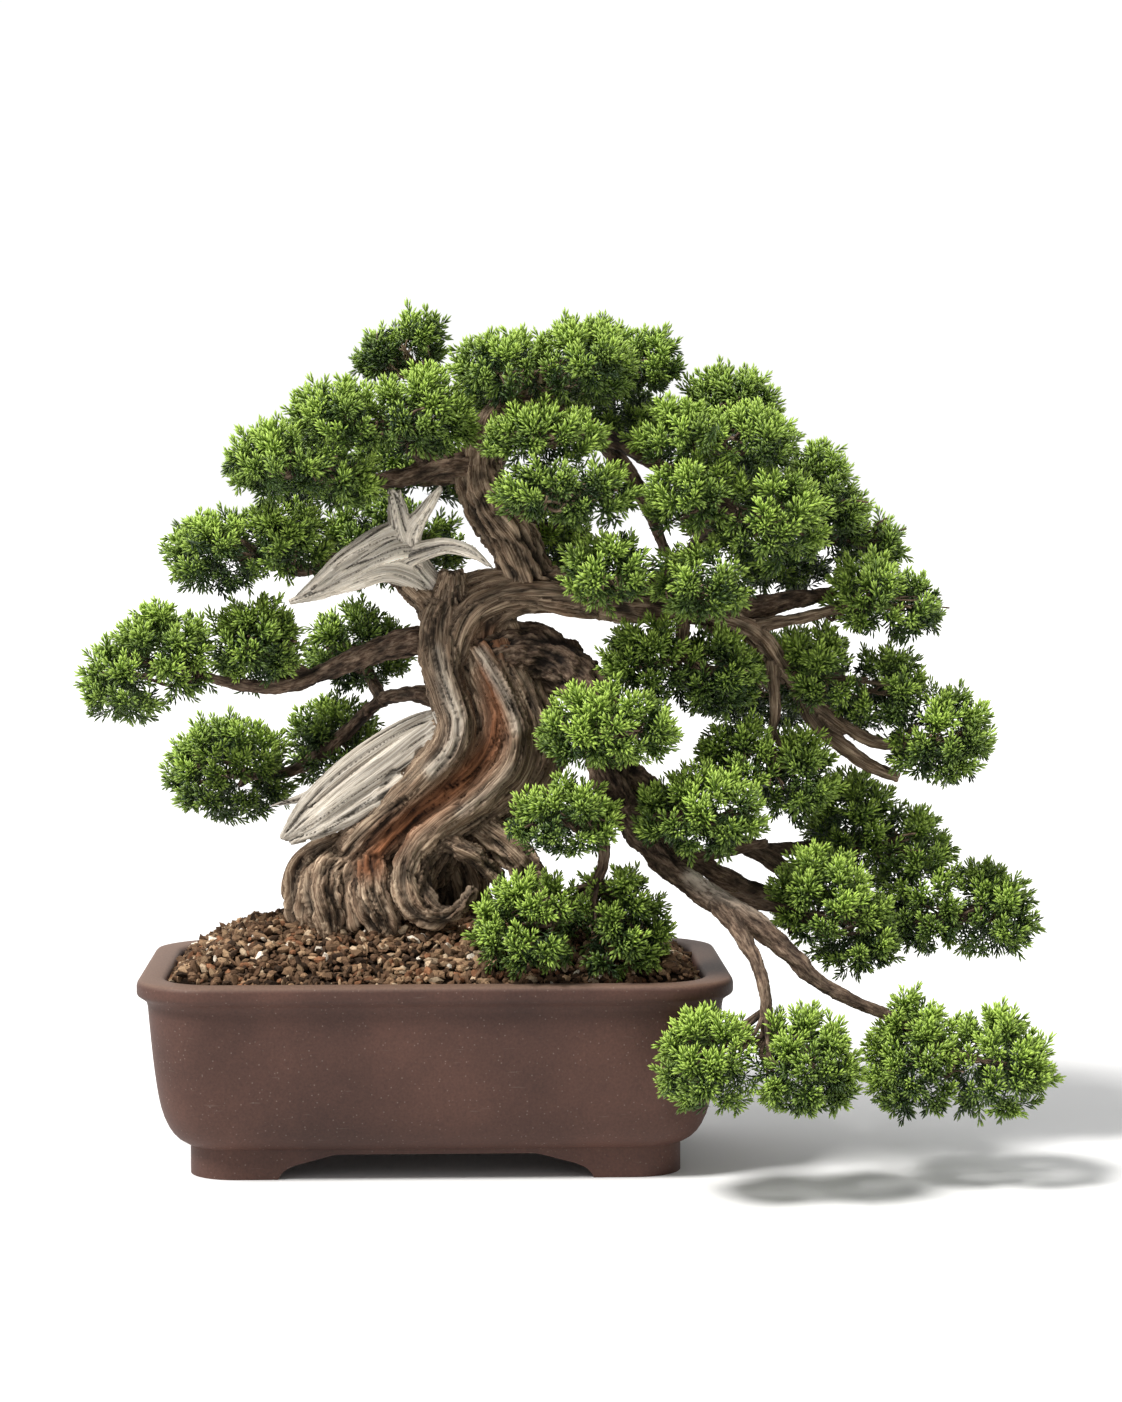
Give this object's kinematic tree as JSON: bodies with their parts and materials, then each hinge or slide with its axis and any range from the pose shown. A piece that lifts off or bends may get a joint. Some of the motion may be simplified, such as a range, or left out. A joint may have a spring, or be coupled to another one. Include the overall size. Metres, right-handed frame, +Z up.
{
  "type": "bonsai tree in a pot",
  "caption": "Old twisted juniper bonsai with bleached deadwood and a drooping limb, in soil in an unglazed rectangular pot on bracket feet.",
  "frame": {"origin": "bottom centre of the whole object's box, on the surface that the pot stands on", "axes": "+X along the pot towards the drooping limb, +Y away from the viewing side, +Z up"},
  "size_m": [0.6108, 0.376, 0.545],
  "materials": {
    "pot": "matte unglazed stoneware with fine pale specks",
    "screen": "matte",
    "grit": "loose pumice grit",
    "soil": "moist granular bonsai soil",
    "trunk_bark": "fibrous weathered bark",
    "bark": "rough flaking bark",
    "deadwood": "bleached dry grain",
    "foliage": "dense needle foliage"
  },
  "bodies": {
    "root": {"deadwood_lower": "deadwood", "deadwood_upper": "deadwood", "drain_screen_left": "screen", "drain_screen_right": "screen", "drainage_grit": "grit", "limb_back_high": "bark", "limb_cascade": "bark", "limb_crown_right": "bark", "limb_leader": "bark", "limb_left_high": "bark", "limb_left_low": "bark", "limb_left_middle": "bark", "limb_left_upper": "bark", "limb_right_low": "bark", "limb_right_middle": "bark", "limb_right_upper": "bark", "pad_apex": "foliage", "pad_apex_right": "foliage", "pad_back_centre": "foliage", "pad_back_crown": "foliage", "pad_back_left": "foliage", "pad_back_left_low": "foliage", "pad_back_left_mid": "foliage", "pad_back_right": "foliage", "pad_back_right_low": "foliage", "pad_cascade_inner": "foliage", "pad_cascade_tip": "foliage", "pad_cascade_upper": "foliage", "pad_centre_right": "foliage", "pad_crown_back_left": "foliage", "pad_crown_left": "foliage", "pad_crown_right": "foliage", "pad_crown_right_back": "foliage", "pad_front_centre": "foliage", "pad_front_high": "foliage", "pad_front_high_low": "foliage", "pad_front_low": "foliage", "pad_front_mid": "foliage", "pad_front_mid_right": "foliage", "pad_left_inner": "foliage", "pad_left_tip": "foliage", "pad_low_left": "foliage", "pad_low_left_inner": "foliage", "pad_over_soil": "foliage", "pad_right_high_back": "foliage", "pad_right_high_tip": "foliage", "pad_right_inner": "foliage", "pad_right_inner_low": "foliage", "pad_right_low": "foliage", "pad_right_low_tip": "foliage", "pad_right_mid": "foliage", "pad_right_mid_tip": "foliage", "pad_right_shoulder": "foliage", "pad_right_tip": "foliage", "pad_shoulder_left": "foliage", "pad_upper_left": "foliage", "pot": "pot", "soil": "soil", "trunk": "trunk_bark"}
  },
  "joints": []
}
